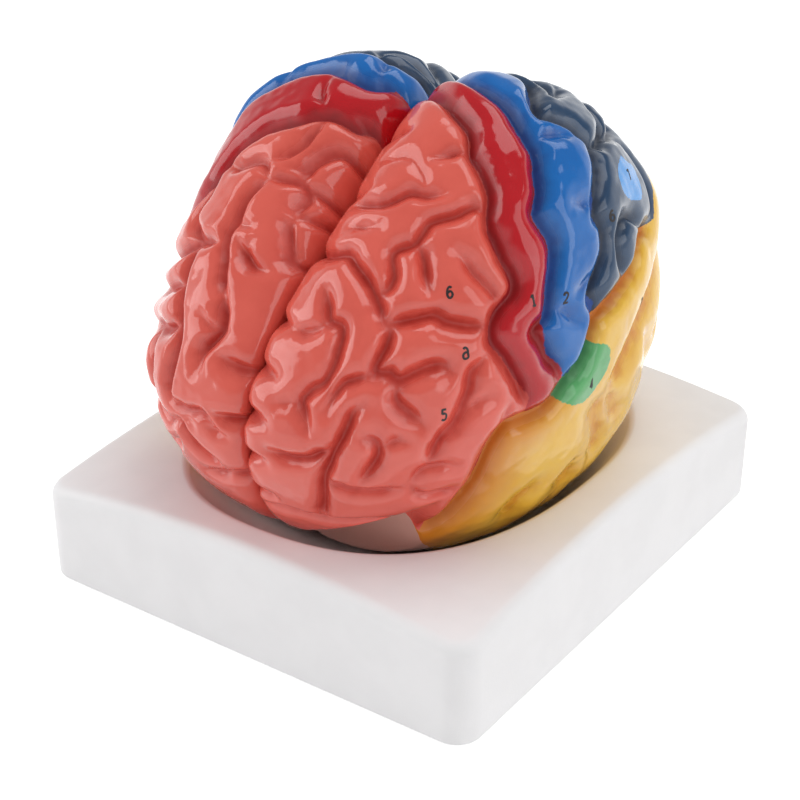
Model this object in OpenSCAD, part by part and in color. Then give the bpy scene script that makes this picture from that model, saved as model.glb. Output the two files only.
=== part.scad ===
// Painted anatomical brain on a shallow rectangular stand, in millimetres.
// The frontal poles point to -Y, the left hemisphere is on the +X side, and z = 0 is the table.

/* [Brain] */
// width across both hemispheres
brain_w = 134; // [122:1:138]
// length from the frontal poles to the occipital poles
brain_l = 168; // [154:1:170]
// height of the crown above the widest level
brain_up = 79; // [72:1:84]
// depth of the underside below the widest level
brain_low = 61; // [56:1:66]
// height of the underside of the frontal lobe above the seat
brow_rise = 14; // [8:1:18]
// depth of the main furrows
fold_depth = 6; // [3:0.5:7]
// half width of a furrow
fold_width = 6; // [4:0.5:7]
// air gap between the two hemispheres
half_gap = 0.3; // [0.2:0.1:1]

/* [Stand] */
// land between the recess and the long sides
land_side = 15.5; // [12:0.5:24]
// land between the recess and the short ends
land_end = 11; // [9:0.5:24]
// height of the four corners
stand_h = 30; // [27:1:36]
// rise of the top from the corners to the middle
stand_arch = 7; // [4:0.5:9]
// depth of the recess below the middle of the top
recess_depth = 21; // [18:0.5:23]
// gap between the brain and the wall of the recess
wall_gap = 2.5; // [2:0.25:5]
// radius of the lip round the recess
lip_r = 1.5; // [1:0.5:3]
// radius of the upright corners
corner_r = 8; // [6:0.5:14]
// radius of the top edge
edge_r = 3.5; // [2:0.5:5]
// radius of the bottom edge
foot_r = 2; // [1:0.5:2.5]
// thickness of the moulded shell
shell_t = 3.5; // [3:0.5:4]

/* [Hidden] */
// rings of grid points over one hemisphere, with five more points on each ring outwards
ring_n = 31;
// the underside is flattened by this much where it sits
flat_cut = 3;
seat_clear = 0.3;
seat_z = stand_h + stand_arch - recess_depth;
axis_z = seat_z + brain_low - flat_cut;
// mean distance from the middle to the surface, which turns degrees into millimetres
mean_r = (brain_w / 2 + brain_l / 2 + brain_up) / 3;
// grid points nearer than this to a furrow are moved onto it
snap_reach = 2;
// a furrow is narrower at its bottom the higher this power, and shallower at its two ends
fold_power = 1.4;
end_share = 0.6;
// squareness of the brain's cross sections at its sides, and above and below the widest level
shoulder = 0.87;
upper_power = 2.86;
lower_power = 2.44;
// width of the rounding of each half towards the fissure
fissure_w = 22;
// the underside of the frontal lobe lies higher, from and to these shares of the length
brow_from = 0.28;
brow_to = 0.34;
// rise of that underside for each millimetre outwards, and the radius of its edge
brow_slope = 0.45;
brow_bend = 3;
// squareness of the oval recess, where 2 is a plain ellipse
oval = 2.3;

// Each furrow is [relative depth, list of points]. A point is [forward, up] in degrees
// from the middle of the outer side: [90, 0] is the frontal pole and [0, 90] the crown.

LEFT_FURROWS = [
    // in front of the red gyrus
    [1.0, [[14, 88], [12, 80], [15, 72], [17, 66], [21, 61], [22, 57], [24, 50], [26, 47], [28, 43],
        [28, 39], [28, 35], [27, 30], [28, 27], [31, 25], [33, 23], [34, 19], [33, 16], [31, 13],
        [28, 8], [25, 3], [24, 1]]],
    // between the red and the blue gyri
    [1.0, [[2, 88], [3, 77], [4, 73], [5, 68], [6, 64], [8, 59], [9, 55], [10, 51], [12, 48], [14, 44],
        [17, 41], [17, 39], [16, 35], [16, 32], [17, 29], [19, 25], [20, 22], [21, 19], [24, 17],
        [22, 13], [20, 9], [18, 7], [17, 4]]],
    // behind the blue gyrus
    [0.9, [[-14, 85], [-11, 70], [-8, 66], [-3, 63], [1, 60], [2, 57], [0, 55], [-3, 52], [-4, 49],
        [-5, 46], [-3, 41], [-1, 38], [2, 34], [3, 31], [2, 29], [2, 26], [3, 23], [6, 21], [10, 19],
        [9, 15], [10, 11], [13, 6]]],
    // the long furrow above the yellow temporal lobe
    [1.1, [[46, -34], [40, -25], [37, -19], [35, -14], [33, -9], [32, -5], [30, -2], [27, 0], [24, 1],
        [20, 2], [17, 4], [13, 5], [10, 10], [6, 13], [2, 13], [-2, 15], [-8, 17], [-13, 21], [-22, 22]]],
    // upper and middle frontal folds
    [0.7, [[29, 65], [24, 63], [21, 61]]],
    [0.8, [[52, 67], [47, 61], [43, 60], [39, 60], [36, 57], [33, 55]]],
    [0.4, [[36, 75], [33, 69], [34, 63], [36, 57]]],
    [0.8, [[27, 46], [29, 49], [33, 49], [39, 50], [42, 48], [45, 46], [49, 46], [51, 44], [52, 39],
        [54, 36], [57, 34]]],
    [0.8, [[44, 47], [44, 42], [45, 37], [45, 33]]],
    [0.9, [[70, 53], [66, 51], [61, 49], [60, 45], [59, 42], [58, 38], [57, 33], [56, 27]]],
    [0.6, [[57, 58], [54, 56], [51, 54]]],
    [0.9, [[56, 27], [53, 27], [49, 27], [45, 27], [43, 25], [39, 23], [34, 21]]],
    [0.9, [[56, 27], [55, 25], [56, 21], [58, 17], [58, 15], [55, 15], [53, 13], [50, 14], [47, 15],
        [44, 15], [42, 13]]],
    [0.8, [[53, 13], [53, 9], [50, 6], [46, 3]]],
    [0.8, [[58, 15], [62, 14], [65, 13], [67, 10], [68, 7]]],
    [0.8, [[69, 39], [69, 33], [69, 30], [66, 28], [66, 25], [67, 21], [68, 17], [70, 13], [73, 11],
        [75, 8], [74, 6], [72, 2]]],
    [0.6, [[79, 28], [75, 27], [71, 28], [69, 30]]],
    [0.5, [[81, 7], [75, 8]]],
    [0.7, [[37, 40], [36, 38], [35, 34], [33, 30], [31, 25]]],
    // lower frontal folds
    [0.9, [[60, 8], [62, 6], [63, 2], [65, -4], [66, -9], [67, -15], [66, -25], [65, -34]]],
    [0.8, [[65, -4], [68, -5], [71, -8], [76, -10], [82, -10]]],
    [0.7, [[67, -15], [63, -16], [60, -17], [56, -17], [52, -16], [49, -15]]],
    [0.8, [[59, 1], [56, 0], [55, -2], [55, -5], [56, -8], [58, -13]]],
    [0.6, [[55, -2], [52, 0], [48, 0]]],
    [0.5, [[78, -38], [72, -35], [65, -34], [58, -32], [50, -30]]],
    [0.8, [[35, 15], [38, 12], [38, 9], [39, 5], [40, 2], [42, 0], [43, -3], [44, -7]]],
    [0.6, [[39, 3], [37, 5], [35, 6], [33, 6]]],
    [0.6, [[47, -13], [45, -9], [41, -8], [38, -9]]],
    [0.6, [[47, -14], [44, -18], [40, -18], [37, -16]]],
    [0.5, [[28, 4], [29, 2], [30, -2]]],
    // notches in the blue gyrus
    [0.6, [[9, 53], [6, 53], [3, 51], [-1, 49]]],
    [0.7, [[2, 34], [5, 35], [8, 37]]],
    [0.5, [[20, 21], [17, 19], [15, 17], [12, 14]]],
    [0.6, [[6, 21], [9, 21], [12, 21]]],
    // slate parietal folds
    [0.8, [[-22, 73], [-17, 67], [-12, 62], [-9, 61]]],
    [0.6, [[-9, 61], [-14, 61], [-20, 63]]],
    [0.9, [[-5, 46], [-9, 45], [-13, 46], [-18, 48], [-20, 52], [-24, 57], [-30, 59], [-36, 58], [-42, 56]]],
    [0.7, [[-13, 46], [-19, 45], [-25, 46], [-31, 49]]],
    [0.7, [[-22, 43], [-25, 38], [-26, 33], [-25, 28], [-23, 23]]],
    [0.8, [[-3, 16], [-2, 21], [-3, 25], [-7, 28], [-11, 27], [-14, 24]]],
    // temporal folds
    [0.9, [[-38, 20], [-30, 17], [-24, 14], [-16, 12], [-10, 9], [-9, 5], [-4, 4], [-1, 2], [3, -2],
        [9, -4], [17, -6], [24, -9], [30, -15], [36, -24]]],
    [0.6, [[3, -2], [4, -5], [2, -9]]],
    [0.6, [[9, -4], [8, -7], [6, -11]]],
    [0.8, [[8, -15], [12, -18], [17, -20], [21, -22], [24, -26], [24, -31]]],
];

RIGHT_FURROWS = [
    // in front of the red gyrus
    [1.0, [[23, 88], [22, 85], [25, 82], [25, 77], [26, 73], [28, 69], [28, 65], [28, 60], [29, 55],
        [30, 50], [32, 46], [34, 41], [34, 33], [33, 26], [35, 20], [33, 14], [30, 9], [26, 3]]],
    // between the red and the blue gyri
    [1.0, [[4, 88], [6, 85], [10, 82], [10, 77], [8, 72], [8, 67], [9, 61], [11, 55], [13, 50], [16, 46],
        [18, 41], [17, 34], [20, 28], [19, 22], [22, 16], [20, 10], [17, 4]]],
    // behind the blue gyrus
    [0.9, [[-12, 89], [-10, 85], [-5, 82], [-3, 78], [-1, 72], [0, 66], [1, 60], [3, 54], [5, 48],
        [6, 42], [4, 36], [6, 30], [5, 24], [8, 18], [9, 12], [13, 6]]],
    // the long furrow above the yellow temporal lobe
    [1.1, [[46, -33], [41, -26], [37, -18], [35, -12], [33, -7], [30, -2], [26, 2], [20, 2], [13, 5],
        [9, 10], [4, 13], [-2, 14], [-8, 18], [-14, 23], [-20, 24]]],
    // folds of the red and the blue gyri
    [0.6, [[15, 73], [19, 73], [24, 75]]],
    [0.7, [[20, 87], [22, 83], [23, 80]]],
    [0.6, [[7, 83], [2, 82], [-3, 80]]],
    [0.5, [[11, 55], [7, 56], [4, 57]]],
    [0.5, [[18, 38], [22, 37], [26, 38]]],
    // upper and middle frontal folds
    [0.8, [[45, 66], [42, 68], [38, 71], [36, 75], [34, 80], [36, 86]]],
    [0.7, [[44, 58], [45, 62], [45, 66], [48, 69], [51, 70], [53, 67], [56, 63], [61, 60], [63, 64],
        [65, 69]]],
    [0.7, [[40, 47], [38, 51], [38, 55], [40, 59], [44, 61]]],
    [0.9, [[44, 61], [47, 57], [50, 51], [53, 46], [56, 42], [59, 38], [62, 33], [66, 31]]],
    [0.5, [[53, 46], [57, 48], [59, 50]]],
    [0.8, [[61, 60], [58, 56], [61, 53], [65, 51], [70, 50], [75, 50]]],
    [0.7, [[62, 40], [66, 41], [70, 41], [75, 41]]],
    [0.8, [[72, 30], [73, 27], [75, 24], [76, 21], [76, 17], [77, 12], [75, 8]]],
    [0.6, [[67, 18], [72, 18], [76, 17]]],
    [0.9, [[40, 47], [45, 42], [49, 38], [51, 35], [53, 30], [55, 25], [58, 20], [62, 16], [65, 12],
        [66, 7], [64, 1], [62, -4]]],
    [0.7, [[42, 28], [47, 31], [51, 35]]],
    [0.8, [[34, 33], [38, 34], [42, 36], [45, 42]]],
    // lower frontal folds
    [0.7, [[66, 7], [66, 1], [67, -4], [71, -6], [76, -6]]],
    [0.8, [[56, -11], [61, -12], [66, -13], [70, -11]]],
    [0.8, [[66, -13], [68, -18], [72, -23], [76, -26], [80, -27]]],
    [0.5, [[81, -6], [85, -10], [88, -11]]],
    [0.8, [[35, 20], [41, 20], [46, 18], [50, 14], [53, 9], [54, 3], [52, -3], [56, -11]]],
    [0.7, [[33, 12], [38, 10], [43, 6], [45, 0], [44, -7]]],
    [0.7, [[50, -12], [46, -16], [44, -22], [50, -28], [58, -28]]],
    // slate parietal folds
    [0.7, [[-3, 76], [-8, 75], [-13, 79], [-16, 85]]],
    [0.8, [[5, 48], [-2, 47], [-8, 50], [-14, 54], [-20, 56], [-28, 58], [-36, 57], [-42, 54]]],
    [0.7, [[-8, 50], [-8, 58], [-12, 64], [-18, 68], [-20, 75]]],
    [0.7, [[-12, 46], [-19, 42], [-24, 36], [-26, 29], [-20, 24]]],
    [0.8, [[-2, 14], [-3, 21], [-2, 28], [-5, 35], [-12, 37], [-16, 33]]],
    // temporal folds
    [0.9, [[-38, 20], [-30, 16], [-22, 14], [-14, 10], [-6, 4], [3, 0], [12, -4], [21, -8], [29, -14],
        [36, -23]]],
    [0.6, [[-6, 4], [-4, -2], [-6, -6]]],
    [0.8, [[6, -14], [12, -17], [18, -20], [23, -26], [23, -31]]],
];

// folds round the back and underneath, the same on both sides
REAR_FURROWS = [
    [0.9, [[-46, 77], [-44, 66], [-42, 56], [-37, 45], [-36, 36]]],
    [0.6, [[-19, 84], [-24, 76], [-26, 68], [-30, 59]]],
    [0.6, [[-34, 83], [-35, 74], [-33, 67]]],
    [0.8, [[-46, 38], [-52, 44], [-56, 52], [-58, 60], [-62, 65]]],
    [0.8, [[-38, 20], [-36, 28], [-43, 27], [-52, 24], [-60, 22], [-68, 25]]],
    [0.7, [[-56, 52], [-64, 46], [-70, 39], [-80, 37]]],
    [0.7, [[-60, 22], [-64, 13], [-72, 8], [-82, 10]]],
    [0.8, [[2, -9], [-5, -7], [-12, -5], [-20, -2], [-28, 2], [-38, 7], [-48, 5], [-56, 2], [-64, -4],
        [-76, -8]]],
    [0.7, [[-14, -17], [-22, -13], [-30, -10], [-38, -6], [-44, -1], [-48, 5]]],
    [0.7, [[-30, -10], [-36, -18], [-46, -21], [-56, -20], [-66, -22]]],
    [1.0, [[-4, -24], [-14, -28], [-26, -31], [-40, -34], [-54, -38], [-68, -46], [-76, -48]]],
    [0.5, [[-20, -40], [-34, -44], [-48, -50], [-60, -58]]],
    [0.5, [[-14, -48], [-28, -54], [-40, -62], [-48, -70]]],
    [0.7, [[46, -34], [42, -44], [34, -54], [22, -62], [8, -66]]],
    [0.5, [[62, -44], [54, -52], [46, -62], [40, -72]]],
];

// unit vector [outward, forward, up] of a point in degrees
function heading(p) =
    let (t = norm(p), c = t == 0 ? [1, 0] : p / t)
    [cos(t), sin(t) * c[0], sin(t) * c[1]];

// Smooth outer form without furrows, measured from the middle of the brain. The poles lie lower
// than the crown, the ends are narrower, and the two halves part more at the front, back and top.
function envelope(p) =
    let (t = min(90, norm(p)), c = t == 0 ? [1, 0] : p / norm(p))
    let (fore = max(0, c[0]), aft = max(0, -c[0]), top = max(0, c[1]), under = max(0, -c[1]))
    let (n = upper_power + (lower_power - upper_power) * min(1, 2 * under))
    let (a = pow(max(0, cos(t)), shoulder), b = pow(sin(t), shoulder))
    let (r = pow(pow(a, n) + pow(b, n), -1 / n))
    let (level = 1 + fore * (0.1 * under - 0.28 * top) + aft * (0.08 * under - 0.08 * top))
    let (y = -brain_l / 2 * r * b * c[0] * level)
    let (z = (c[1] > 0 ? brain_up : brain_low) * r * b * c[1] * level)
    let (x = brain_w / 2 * r * a * (1 - (y < 0 ? 0.11 : 0.22) * pow(2 * y / brain_l, 2)))
    let (sink = fore * fore + 6 * aft * aft + 12 * top * top + 20 * pow(fore * top, 2))
    let (near = pow(max(0, 1 - x / fissure_w), 2), k = 1 - sink * near / max(1, norm([y, z])))
    [x, y * k, z * k];

// straight pieces of the furrows as [start, end, depth at start, depth at end, middle, reach]
function pieces(furrows) = [
    for (f = furrows, i = [0 : len(f[1]) - 2])
    let (a = heading(f[1][i]), b = heading(f[1][i + 1]))
    let (da = i == 0 ? end_share : 1, db = i == len(f[1]) - 2 ? end_share : 1)
    let (m = (a + b) / norm(a + b), reach = acos(min(1, m * a)) + 1.05 * fold_width / mean_r * 180 / PI)
    [a, b, f[0] * fold_depth * da, f[0] * fold_depth * db, m, cos(reach)]
];

// distance in millimetres and nearest point of each furrow piece close to unit vector d
function close_pieces(d, segs) = [for (s = segs) if (d * s[4] > s[5])
    let (ab = s[1] - s[0], t = max(0, min(1, (d - s[0]) * ab / (ab * ab))), foot = s[0] + ab * t)
    [norm(d - foot) * mean_r, foot, s[2] + (s[3] - s[2]) * t]];

// a grid point that lies close to a furrow moves onto it, so the furrow stays unbroken
function snapped(p, segs) =
    let (near = close_pieces(heading(p), segs), gap = min([snap_reach, for (q = near) q[0]]))
    gap >= snap_reach || norm(p) > 89.9 ? p
    : let (foot = [for (q = near) if (q[0] == gap) q[1]][0], d = foot / norm(foot))
    acos(d[0]) * [d[1], d[2]] / norm([d[1], d[2]]);

// depth of the deepest furrow at unit vector d
function furrow_depth(d, segs) = max([0, for (q = close_pieces(d, segs))
    q[2] * pow(max(0, 1 - q[0] / fold_width), fold_power)]);

// the larger of two heights, with a soft bend of that radius between them
function soft_max(a, b, r) = (a + b + sqrt(pow(a - b, 2) + r * r)) / 2;

// from 0 under the temporal lobes to 1 under the frontal lobe
function brow(y) =
    let (s = max(0, min(1, (-y / brain_l - brow_from) / (brow_to - brow_from))))
    s * s * (3 - 2 * s);

function brain_point(p, drop, side) =
    let (e = envelope(p), k = 1 - drop / norm(e), s = brow(e[1] * k), foot = seat_z + seat_clear)
    let (z = soft_max(axis_z + e[2] * k, foot + s * (brow_rise + brow_slope * e[0] * k), brow_bend * s))
    [side * (e[0] * k + half_gap / 2), e[1] * k, max(foot, z)];

// number of the grid point m on ring k
function spot_id(k, m) = k == 0 ? 0 : 1 + 5 * k * (k - 1) / 2 + m % (5 * k);

module hemisphere(side, furrows) {
    segs = pieces(furrows);
    spots = concat([[0, 0]], [for (k = [1 : ring_n], m = [0 : 5 * k - 1])
        snapped(90 * k / ring_n * [cos(72 * m / k), sin(72 * m / k)], segs)]);
    points = [for (p = spots) brain_point(p, furrow_depth(heading(p), segs), side)];
    skin = [
        for (k = [0 : ring_n - 1], s = [0 : 4], j = [0 : k])
        let (a = spot_id(k, s * k + j), b = spot_id(k + 1, s * (k + 1) + j))
        let (c = spot_id(k + 1, s * (k + 1) + j + 1))
        each j < k ? [[a, b, c], [a, c, spot_id(k, s * k + j + 1)]] : [[a, b, c]]
    ];
    rim = [for (m = [5 * ring_n - 1 : -1 : 0]) spot_id(ring_n, m)];
    faces = concat(skin, [rim]);
    turned = [for (f = faces) [for (i = [len(f) - 1 : -1 : 0]) f[i]]];
    polyhedron(points = points, faces = side > 0 ? faces : turned, convexity = 8);
}

module left_hemisphere() color("#e2766c") hemisphere(1, concat(LEFT_FURROWS, REAR_FURROWS));

module right_hemisphere() color("#e2766c") hemisphere(-1, concat(RIGHT_FURROWS, REAR_FURROWS));

// share of the brain's full width and length at a depth below the top of the stand
function bowl_share(deep) =
    let (low = axis_z - stand_h - stand_arch + deep)
    pow(1 - pow(min(0.97, low / brain_low), lower_power), 1 / lower_power);

recess_a = brain_w / 2 * bowl_share(0) + wall_gap;
recess_b = brain_l / 2 * bowl_share(0) + wall_gap;
stand_w = 2 * (recess_a + land_side);
stand_l = 2 * (recess_b + land_end);

// [x, y, facing] of the points round the stand, on the rectangle through the corner centres
function stand_spots() =
    let (cx = stand_w / 2 - corner_r, cy = stand_l / 2 - corner_r)
    let (c = [[cx, cy], [-cx, cy], [-cx, -cy], [cx, -cy], [cx, cy]])
    [for (q = [0 : 3]) each concat(
        [for (k = [0 : 4]) [c[q][0], c[q][1], 90 * q + 22.5 * k]],
        [for (m = [1 : 5]) let (p = c[q] + (c[q + 1] - c[q]) * m / 6) [p[0], p[1], 90 * q + 90]])];

function edge_point(s, inset) = [s[0], s[1]] + (corner_r - inset) * [cos(s[2]), sin(s[2])];

// point of the recess at a depth below the top, moved outwards
function recess_point(s, deep, out) =
    let (p = edge_point(s, 0), t = atan2(p[1] / recess_b, p[0] / recess_a), share = bowl_share(deep))
    let (a = brain_w / 2 * share + wall_gap + out, b = brain_l / 2 * share + wall_gap + out)
    let (k = pow(pow(abs(cos(t)), oval) + pow(abs(sin(t)), oval), -1 / oval))
    [a * k * cos(t), b * k * sin(t)];

// height of the softly arched top
function top_z(p) = stand_h + stand_arch * (1 - pow(2 * p[0] / stand_w, 2) * pow(2 * p[1] / stand_l, 2));

// height at a depth below the top, which reaches the floor of the recess at its full depth
function wall_z(p, deep) = seat_z + (top_z(p) - seat_z) * (1 - deep / recess_depth);

function at(p, z) = [p[0], p[1], z];

module stand() {
    spots = stand_spots();
    count = len(spots);
    upper = concat(
        [[for (s = spots) at(edge_point(s, shell_t), 0)]],
        [for (a = [0, 45, 90]) [for (s = spots)
            at(edge_point(s, foot_r * (1 - sin(a))), foot_r * (1 - cos(a)))]],
        [for (a = [0, 30, 60, 90]) [for (s = spots)
            let (p = edge_point(s, edge_r * (1 - cos(a))))
            at(p, top_z(p) - edge_r * (1 - sin(a)))]],
        [for (f = [0.35, 0.7]) [for (s = spots)
            let (p = edge_point(s, edge_r) * (1 - f) + recess_point(s, 0, lip_r) * f)
            at(p, top_z(p))]],
        [for (a = [0, 45, 90]) [for (s = spots)
            let (deep = lip_r * (1 - cos(a)), p = recess_point(s, deep, lip_r * (1 - sin(a))))
            at(p, wall_z(p, deep))]],
        [for (f = [0.3, 0.55, 0.8, 0.94, 1]) [for (s = spots)
            let (p = recess_point(s, recess_depth * f, 0))
            at(p, wall_z(p, recess_depth * f))]]
    );
    under = concat(
        [for (f = [1, 0.85, 0.5]) [for (s = spots)
            let (p = recess_point(s, recess_depth * f, f < 1 ? shell_t : 0))
            at(p, wall_z(p, recess_depth * f) - shell_t * f)]],
        [[for (s = spots) let (p = recess_point(s, 0, lip_r + shell_t)) at(p, top_z(p) - shell_t)]],
        [[for (s = spots) let (p = edge_point(s, shell_t + 1)) at(p, top_z(p) - shell_t)]],
        [[for (s = spots) let (p = edge_point(s, shell_t)) at(p, top_z(p) - shell_t - 1)]]
    );
    rings = concat(upper, under);
    sides = len(rings);
    floor_ring = len(upper) - 1;
    points = [for (r = rings) each r];
    band = [
        for (r = [0 : sides - 1], i = [0 : count - 1])
        if (r != floor_ring)
        let (next = (r + 1) % sides, k = (i + 1) % count)
        let (a = r * count + i, b = r * count + k, c = next * count + k, d = next * count + i)
        each [[a, b, c], [a, c, d]]
    ];
    top_floor = [for (i = [0 : count - 1]) floor_ring * count + i];
    low_floor = [for (i = [count - 1 : -1 : 0]) (floor_ring + 1) * count + i];
    faces = concat(band, [top_floor], [low_floor]);
    turned = [for (f = faces) [for (i = [len(f) - 1 : -1 : 0]) f[i]]];
    color("#ebebec") polyhedron(points = points, faces = turned, convexity = 6);
}

stand();
left_hemisphere();
right_hemisphere();
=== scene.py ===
"""A painted anatomical brain in two halves on its white stand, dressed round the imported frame."""
import math

import bpy
import numpy as np
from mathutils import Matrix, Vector, noise
from mathutils.bvhtree import BVHTree


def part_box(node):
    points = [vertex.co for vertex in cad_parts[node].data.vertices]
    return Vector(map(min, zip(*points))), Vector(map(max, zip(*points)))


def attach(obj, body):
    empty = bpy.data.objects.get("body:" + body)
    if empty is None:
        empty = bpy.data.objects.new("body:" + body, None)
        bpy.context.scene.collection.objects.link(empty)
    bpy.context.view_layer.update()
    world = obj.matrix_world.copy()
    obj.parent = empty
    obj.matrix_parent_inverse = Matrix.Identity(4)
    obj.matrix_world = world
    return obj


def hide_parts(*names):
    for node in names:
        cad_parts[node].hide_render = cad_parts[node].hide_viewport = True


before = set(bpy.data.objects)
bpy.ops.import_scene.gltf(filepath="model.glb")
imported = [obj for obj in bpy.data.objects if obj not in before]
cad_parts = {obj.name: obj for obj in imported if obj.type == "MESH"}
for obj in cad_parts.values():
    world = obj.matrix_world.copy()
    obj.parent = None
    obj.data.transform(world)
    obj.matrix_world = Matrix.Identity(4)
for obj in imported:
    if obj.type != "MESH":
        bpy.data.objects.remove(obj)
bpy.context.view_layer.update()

# Sizes in millimetres. The stand's outer size and the height of the seat come from the frame.
MM = 0.001
stand_low, stand_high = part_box("stand")
left_low, left_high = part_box("left_hemisphere")
STAND_W = (stand_high.x - stand_low.x) / MM
STAND_L = (stand_high.y - stand_low.y) / MM
BRAIN_W = 134
BRAIN_L = 168
BRAIN_UP = 79
BRAIN_LOW = 61
FLAT_CUT = 3
HALF_GAP = 0.3
SEAT_CLEAR = 0.3
SEAT_Z = left_low.z / MM - SEAT_CLEAR
AXIS_Z = SEAT_Z + BRAIN_LOW - FLAT_CUT

# The smooth outer form of a half: its mean radius, how square it is across and from front to rear,
# and the shares by which it changes towards the front and the rear
MEAN_R = 76.7
SHOULDER = 0.87
UPPER_POWER = 2.86
LOWER_POWER = 2.44
FRONT_TOP_DROP = 0.28
FRONT_UNDER_RISE = 0.1
REAR_LEVEL_CHANGE = 0.08
FRONT_NARROWING = 0.11
REAR_NARROWING = 0.22

# How far each half sinks towards the fissure in millimetres: in front, behind, on top and between
FISSURE_W = 22
FRONT_SINK = 1
REAR_SINK = 6
TOP_SINK = 12
FRONT_TOP_SINK = 20

# The raised underside of the frontal lobe
BROW_FROM = 0.28
BROW_TO = 0.34
BROW_RISE = 14
BROW_SLOPE = 0.45
BROW_BEND = 3

# The stand, the same form as its CAD node with finer steps.
STAND_H = 30
STAND_ARCH = 7
RECESS_DEPTH = 21
WALL_GAP = 2.5
LIP_R = 1.5
DEEPEST_SHARE = 0.97
CORNER_R = 8
EDGE_R = 3.5
FOOT_R = 2
SHELL_T = 3.5
OVAL = 2.3

# Steps of the stand's mesh, and the angle in degrees above which its edges look sharp
CORNER_STEPS = 18
SIDE_STEPS = 48
TOP_STEPS = 12
BOWL_STEPS = 12
SHARP_ANGLE = 40

# The fine surface stays this far inside the smooth outer form. Under that it is uneven in broad
# waves, which fade out in furrows of WAVE_FADE millimetres, and in small ripples.
SKIN_INSET = 0.35
WAVE_SIZE = 11
WAVE_DEPTH = 0.45
WAVE_FADE = 4
WAVE_SEED = 3
RIPPLE_SIZE = 3
RIPPLE_DEPTH = 0.12
RIPPLE_SEED = 9

# Furrows. FIXED_WIDTH is the share of their width that doesn't follow from their depth. At its ends
# a furrow has END_DEPTH of its depth, which grows over END_RUN millimetres.
FOLD_DEPTH = 5.6
FOLD_HALF_WIDTH = 6
FIXED_WIDTH = 0.55
WIDEST_SHARE = 1.6
VALLEY_FLOOR = 0.1
BLUNT = 3
FOLD_POWER = 2.1
BLEND_POWER = 4
END_DEPTH = 0.45
END_RUN = 9

# Towards the rear the folds lean back: their valleys lie up to LEAN degrees behind the drawn lines.
LEAN = 3.5
LEAN_FROM = 45
LEAN_SLOPE = 0.065

# The rounding of each half where it rolls over into the fissure
LIP_WIDTH = 6.5
LIP_DEPTH = 3.5
CROWN_LIP_DEPTH = 3.5

# Rings of the grid from the middle of the outer side to its rim, and a distance above all others
RINGS = 190
FAR = 1e6

# Camera, in metres and degrees, with the lens and the sensor's width in millimetres
CAMERA_PLACE = (0.2597, -0.3739, 0.2716)
CAMERA_AZIMUTH = 35.37
CAMERA_ELEVATION = 26.36
CAMERA_LENS = 74.2
CAMERA_SENSOR = 36

# World light: its strength is HORIZON up to the height HORIZON_TOP and SKY from SKY_FROM up, both
# heights as the sine of the angle above the ground.
HORIZON = 1.0
SKY = 0.35
HORIZON_TOP = 0.25
SKY_FROM = 0.5

# The floor in metres: its tone to the light, and to the camera the share that shadows darken and
# the share that glows
FLOOR_SIZE = 6
FLOOR_DROP = 0.0005
FLOOR_TONE = 0.88
FLOOR_SHADED = 0.6
FLOOR_GLOW = 0.8

# Lamps as [name, place, size, watts]
LAMPS_AIM = (0, 0, 0.08)
SOFTBOXES = [
    ["key_softbox", (-1.4, -0.9, 1.0), 1.3, 12],
    ["side_softbox", (1.6, 0.1, 0.9), 1.2, 7],
    ["top_softbox", (0.2, 0.7, 1.9), 1.4, 12],
]

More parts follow.
